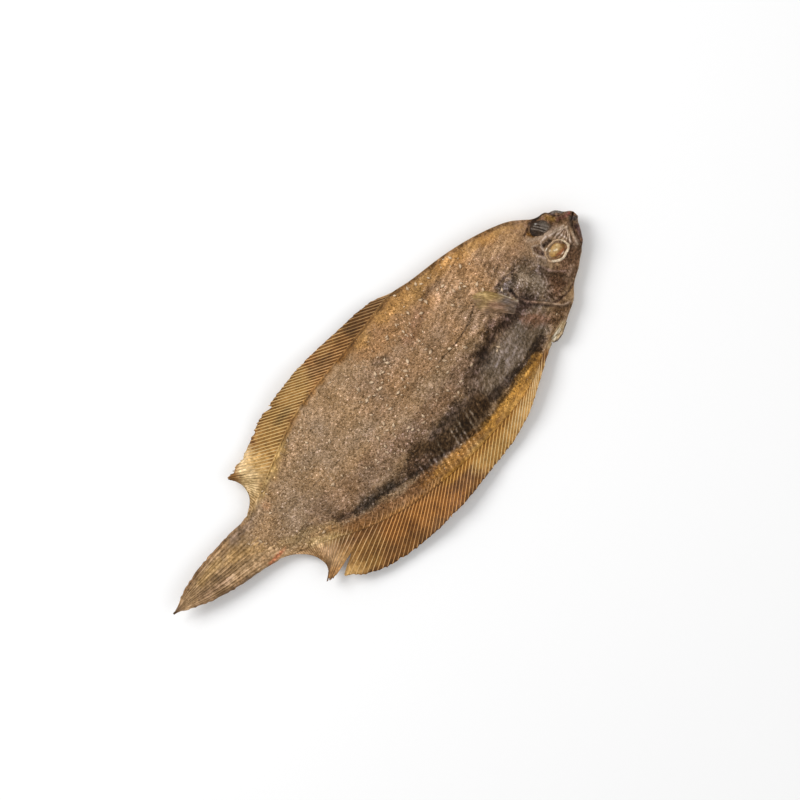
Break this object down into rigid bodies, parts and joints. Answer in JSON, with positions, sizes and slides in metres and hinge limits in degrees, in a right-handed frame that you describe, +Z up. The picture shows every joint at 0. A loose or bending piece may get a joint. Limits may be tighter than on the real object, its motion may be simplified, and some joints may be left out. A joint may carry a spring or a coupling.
{
  "type": "dried dab dog treat",
  "caption": "Whole dried flatfish chew: flat scaly body lying eyed side up, rayed back and belly fins with ragged edges, closed pointed tail.",
  "frame": {"origin": "middle of the fish's length and width, on the surface that it lies on", "axes": "+X along the fish from tail tip to snout, +Y across towards the back fin, +Z up out of the eyed side"},
  "size_m": [0.2204, 0.0838, 0.0131],
  "materials": {
    "dried_fish_skin": "dry scaly skin, matte to waxy, golden along the fins and dark on the belly"
  },
  "bodies": {
    "root": {"dried_dab": "dried_fish_skin"}
  },
  "joints": []
}
